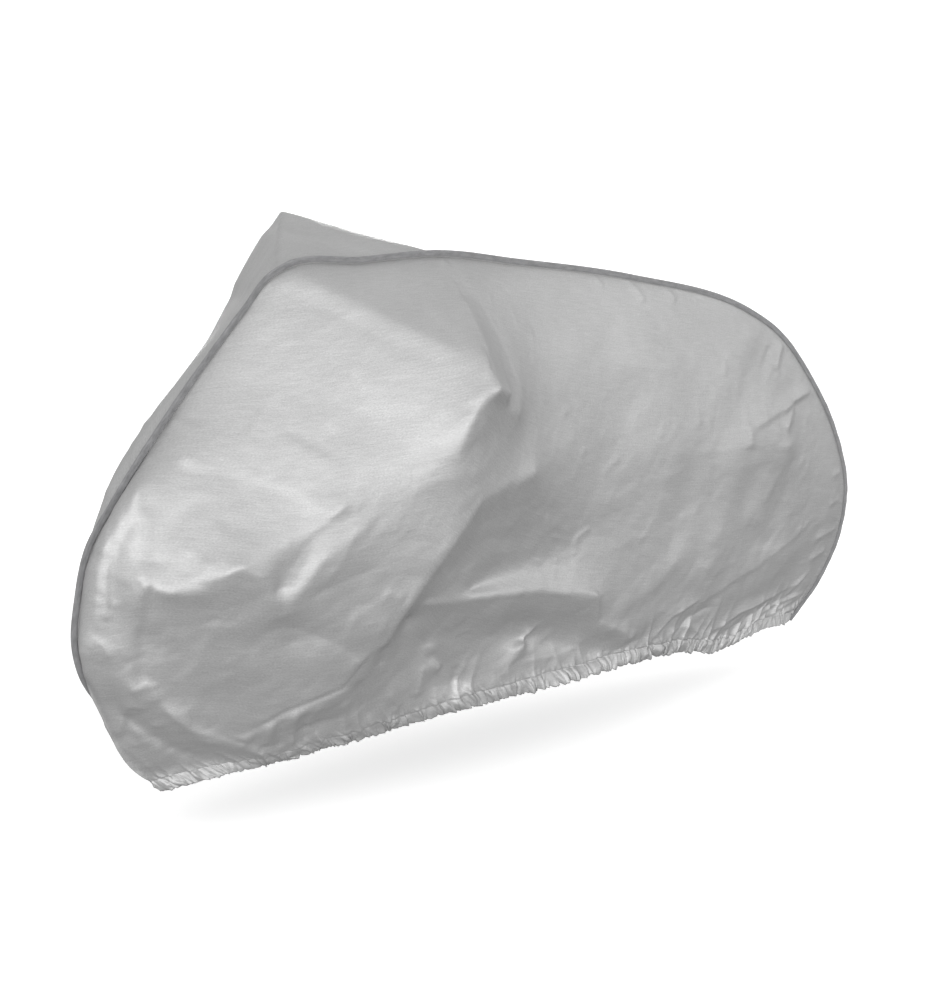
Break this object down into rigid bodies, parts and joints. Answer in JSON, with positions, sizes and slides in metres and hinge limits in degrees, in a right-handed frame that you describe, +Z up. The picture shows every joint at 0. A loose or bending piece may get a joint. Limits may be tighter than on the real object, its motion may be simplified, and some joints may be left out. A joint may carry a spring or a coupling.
{
  "type": "bicycle cover",
  "caption": "Fitted bicycle cover of silver coated cloth: side panels joined by a bound seam over the top, tented out at the bars, with a gathered elastic hem and an open underside.",
  "frame": {"origin": "the underside of the top seam, where the cover hangs on the highest middle part of what it covers", "axes": "+X to the rear of the cover, -Y the near side shown in the picture, +Z up"},
  "size_m": [1.7754, 0.5284, 0.9076],
  "materials": {
    "coated_cloth_near": "silver coated woven polyester, semi-gloss",
    "coated_cloth_far": "silver coated woven polyester, semi-gloss",
    "binding_tape": "dark grey woven tape, matt"
  },
  "bodies": {
    "root": {"panel_near": "coated_cloth_near", "panel_far": "coated_cloth_far", "binding_seam": "binding_tape"}
  },
  "joints": []
}
